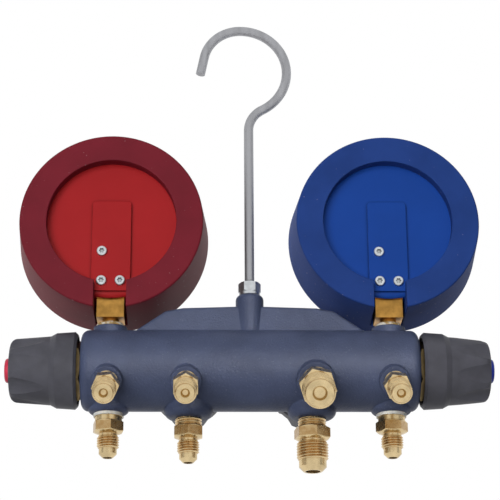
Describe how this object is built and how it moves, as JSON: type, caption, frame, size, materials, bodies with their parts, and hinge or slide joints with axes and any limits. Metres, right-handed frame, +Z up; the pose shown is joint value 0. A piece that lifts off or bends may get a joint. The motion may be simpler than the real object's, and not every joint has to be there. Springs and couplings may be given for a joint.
{
  "type": "charging manifold",
  "caption": "Refrigerant charging manifold: cast barrel with screw-down valves, flare ports, hose parking posts, a pair of booted dial gauges and a wire hanging hook.",
  "frame": {"origin": "the point of the hook's inner face straight above the middle of the barrel", "axes": "+X along the barrel towards the high pressure side, +Y to the rear where the parking posts are, so the dials face -Y, +Z up"},
  "size_m": [0.2472, 0.1113, 0.2466],
  "materials": {
    "casting_paint": "satin blue-grey paint over a cast surface",
    "brass": "machined brass",
    "brass_works": "machined brass, unseen",
    "hook_steel": "drawn steel wire, zinc plated",
    "plated_steel": "bright zinc plating",
    "knob_plastic": "matt moulded plastic",
    "cap_red": "moulded plastic",
    "cap_blue": "moulded plastic",
    "cap_yellow": "moulded plastic",
    "cap_green": "moulded plastic",
    "boot_red": "matt soft rubber",
    "boot_blue": "matt soft rubber",
    "case_red": "satin paint",
    "case_blue": "satin paint",
    "dial_white": "matt white, printed scale",
    "pointer_black": "matt black",
    "bezel_chrome": "polished",
    "window_clear": "clear polycarbonate",
    "seal_rubber": "nitrile rubber",
    "tape_white": "sealing tape"
  },
  "bodies": {
    "manifold": {"manifold_body": "casting_paint", "valve_gland_high": "brass", "valve_gland_low": "brass", "valve_gland_charge": "brass", "valve_gland_vacuum": "brass", "gland_seals": "seal_rubber", "flare_port_high": "brass", "flare_port_charge": "brass", "flare_port_vacuum": "brass", "flare_port_low": "brass", "parking_post_high": "brass", "parking_post_charge": "brass", "parking_post_vacuum": "brass", "parking_post_low": "brass", "thread_tape": "tape_white", "hook": "hook_steel", "hook_washer": "plated_steel", "hook_nut": "plated_steel", "gauge_boot_high": "boot_red", "gauge_case_high": "case_red", "gauge_stem_high": "brass", "bourdon_tube_high": "brass_works", "movement_frame_high": "brass_works", "dial_high": "dial_white", "window_high": "window_clear", "bezel_high": "bezel_chrome", "gauge_boot_low": "boot_blue", "gauge_case_low": "case_blue", "gauge_stem_low": "brass", "bourdon_tube_low": "brass_works", "movement_frame_low": "brass_works", "dial_low": "dial_white", "window_low": "window_clear", "bezel_low": "bezel_chrome", "case_screws": "plated_steel"},
    "piston_high": {"valve_piston_high": "brass_works", "piston_seals_high": "seal_rubber"},
    "handle_high": {"valve_spindle_high": "brass_works", "knob_high": "knob_plastic", "knob_cap_high": "cap_red"},
    "piston_low": {"valve_piston_low": "brass_works", "piston_seals_low": "seal_rubber"},
    "handle_low": {"valve_spindle_low": "brass_works", "knob_low": "knob_plastic", "knob_cap_low": "cap_blue"},
    "piston_charge": {"valve_piston_charge": "brass_works", "piston_seals_charge": "seal_rubber"},
    "handle_charge": {"valve_spindle_charge": "brass_works", "knob_charge": "knob_plastic", "knob_cap_charge": "cap_yellow"},
    "piston_vacuum": {"valve_piston_vacuum": "brass_works", "piston_seals_vacuum": "seal_rubber"},
    "handle_vacuum": {"valve_spindle_vacuum": "brass_works", "knob_vacuum": "knob_plastic", "knob_cap_vacuum": "cap_green"},
    "sector_high": {"sector_gear_high": "brass_works"},
    "pointer_high": {"pointer_high": "pointer_black"},
    "sector_low": {"sector_gear_low": "brass_works"},
    "pointer_low": {"pointer_low": "pointer_black"}
  },
  "joints": [
    {"name": "valve_high_travel", "type": "slide", "parent": "manifold", "child": "piston_high", "axis": [1, 0, 0], "range_m": [0, 0.00375]},
    {"name": "valve_high_turn", "type": "hinge", "parent": "piston_high", "child": "handle_high", "pos_m": [0.085, 0, -0.1894], "axis": [1, 0, 0], "range_deg": [0, 900]},
    {"name": "valve_low_travel", "type": "slide", "parent": "manifold", "child": "piston_low", "axis": [-1, 0, 0], "range_m": [0, 0.00375]},
    {"name": "valve_low_turn", "type": "hinge", "parent": "piston_low", "child": "handle_low", "pos_m": [-0.085, 0, -0.1894], "axis": [-1, 0, 0], "range_deg": [0, 900]},
    {"name": "valve_charge_travel", "type": "slide", "parent": "manifold", "child": "piston_charge", "axis": [0, -1, 0], "range_m": [0, 0.00375]},
    {"name": "valve_charge_turn", "type": "hinge", "parent": "piston_charge", "child": "handle_charge", "pos_m": [0.031, -0.0226, -0.1894], "axis": [0, -1, 0], "range_deg": [0, 900]},
    {"name": "valve_vacuum_travel", "type": "slide", "parent": "manifold", "child": "piston_vacuum", "axis": [0, -1, 0], "range_m": [0, 0.00375]},
    {"name": "valve_vacuum_turn", "type": "hinge", "parent": "piston_vacuum", "child": "handle_vacuum", "pos_m": [-0.031, -0.0226, -0.1894], "axis": [0, -1, 0], "range_deg": [0, 900]},
    {"name": "gauge_high_sector_turn", "type": "hinge", "parent": "manifold", "child": "sector_high", "pos_m": [0.071, -0.0034, -0.1298], "axis": [0, -1, 0], "range_deg": [0, 33.75], "stiffness_Nm_per_rad": 0.004, "springref_deg": -17.19},
    {"name": "gauge_high_pointer_turn", "type": "hinge", "parent": "manifold", "child": "pointer_high", "pos_m": [0.071, -0.0034, -0.1136], "axis": [0, -1, 0], "range_deg": [-271, 1]},
    {"name": "gauge_low_sector_turn", "type": "hinge", "parent": "manifold", "child": "sector_low", "pos_m": [-0.071, -0.0034, -0.1298], "axis": [0, -1, 0], "range_deg": [0, 33.75], "stiffness_Nm_per_rad": 0.004, "springref_deg": -17.19},
    {"name": "gauge_low_pointer_turn", "type": "hinge", "parent": "manifold", "child": "pointer_low", "pos_m": [-0.071, -0.0034, -0.1136], "axis": [0, -1, 0], "range_deg": [-271, 1]}
  ],
  "couplings": [
    {"joint": "valve_high_turn", "follows": "valve_high_travel", "rad_per_m": 4188.8},
    {"joint": "valve_low_turn", "follows": "valve_low_travel", "rad_per_m": 4188.8},
    {"joint": "valve_charge_turn", "follows": "valve_charge_travel", "rad_per_m": 4188.8},
    {"joint": "valve_vacuum_turn", "follows": "valve_vacuum_travel", "rad_per_m": 4188.8},
    {"joint": "gauge_high_pointer_turn", "follows": "gauge_high_sector_turn", "ratio": -8},
    {"joint": "gauge_low_pointer_turn", "follows": "gauge_low_sector_turn", "ratio": -8}
  ]
}
